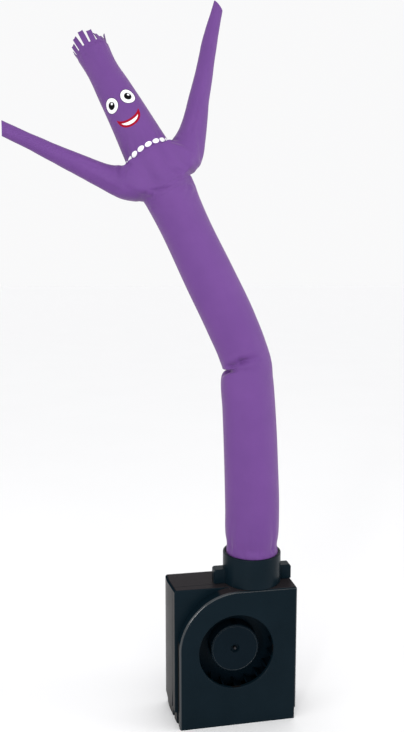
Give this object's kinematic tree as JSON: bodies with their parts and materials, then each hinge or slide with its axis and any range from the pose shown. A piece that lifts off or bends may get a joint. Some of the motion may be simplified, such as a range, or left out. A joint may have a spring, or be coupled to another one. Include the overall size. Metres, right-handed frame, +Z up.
{
  "type": "inflatable air dancer",
  "caption": "Fabric tube figure with two arms, a printed face and a fringe of hair, standing upright on a small fan blower that fills it with air.",
  "frame": {"origin": "on the housing's underside, below the fan's axis, half way between the front and the back", "axes": "+X to the right seen from the front, +Y to the back, +Z up"},
  "size_m": [0.179, 0.0524, 0.4598],
  "materials": {
    "black_plastic": "satin black moulded plastic",
    "wheel_plastic": "satin black moulded plastic",
    "motor_can": "plain steel can",
    "steel": "plain steel pin",
    "purple_fabric": "thin woven nylon with a slight sheen"
  },
  "bodies": {
    "blower_and_figure": {"housing_front": "black_plastic", "housing_back": "black_plastic", "nozzle": "black_plastic", "motor": "motor_can", "body_tube": "purple_fabric", "chest_and_arms": "purple_fabric", "head_tube": "purple_fabric", "hair": "purple_fabric"},
    "fan": {"fan_wheel": "wheel_plastic", "motor_shaft": "steel"}
  },
  "joints": [
    {"name": "fan_spin", "type": "hinge", "parent": "blower_and_figure", "child": "fan", "pos_m": [0, 0, 0.0503], "axis": [0, -1, 0], "continuous": true}
  ]
}
